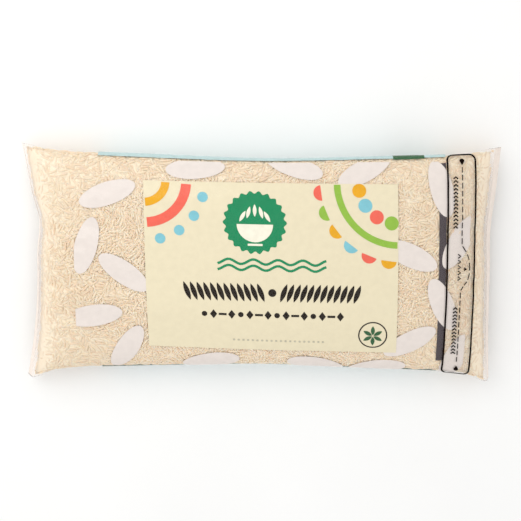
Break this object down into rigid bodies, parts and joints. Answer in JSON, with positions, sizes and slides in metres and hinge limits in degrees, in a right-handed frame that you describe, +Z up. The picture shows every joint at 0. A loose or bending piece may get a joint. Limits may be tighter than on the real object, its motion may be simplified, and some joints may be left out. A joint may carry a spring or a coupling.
{
  "type": "shut bag of rice",
  "caption": "Shut clear film pillow bag filled with long-grain rice, lying on its back, with a printed front panel and a reseal label across one end.",
  "frame": {"origin": "under the middle of the bag, on the surface that it lies on", "axes": "+X along the bag to the end with the reseal label, +Y to the long edge that is the top of the printed front, +Z up out of the printed front"},
  "size_m": [0.296, 0.149, 0.0405],
  "materials": {
    "film_over_rice": "clear glossy film drawn over cream rice",
    "label_film": "clear label film with a black printed outline"
  },
  "bodies": {
    "root": {"bag": "film_over_rice", "reseal_label": "label_film"}
  },
  "joints": []
}
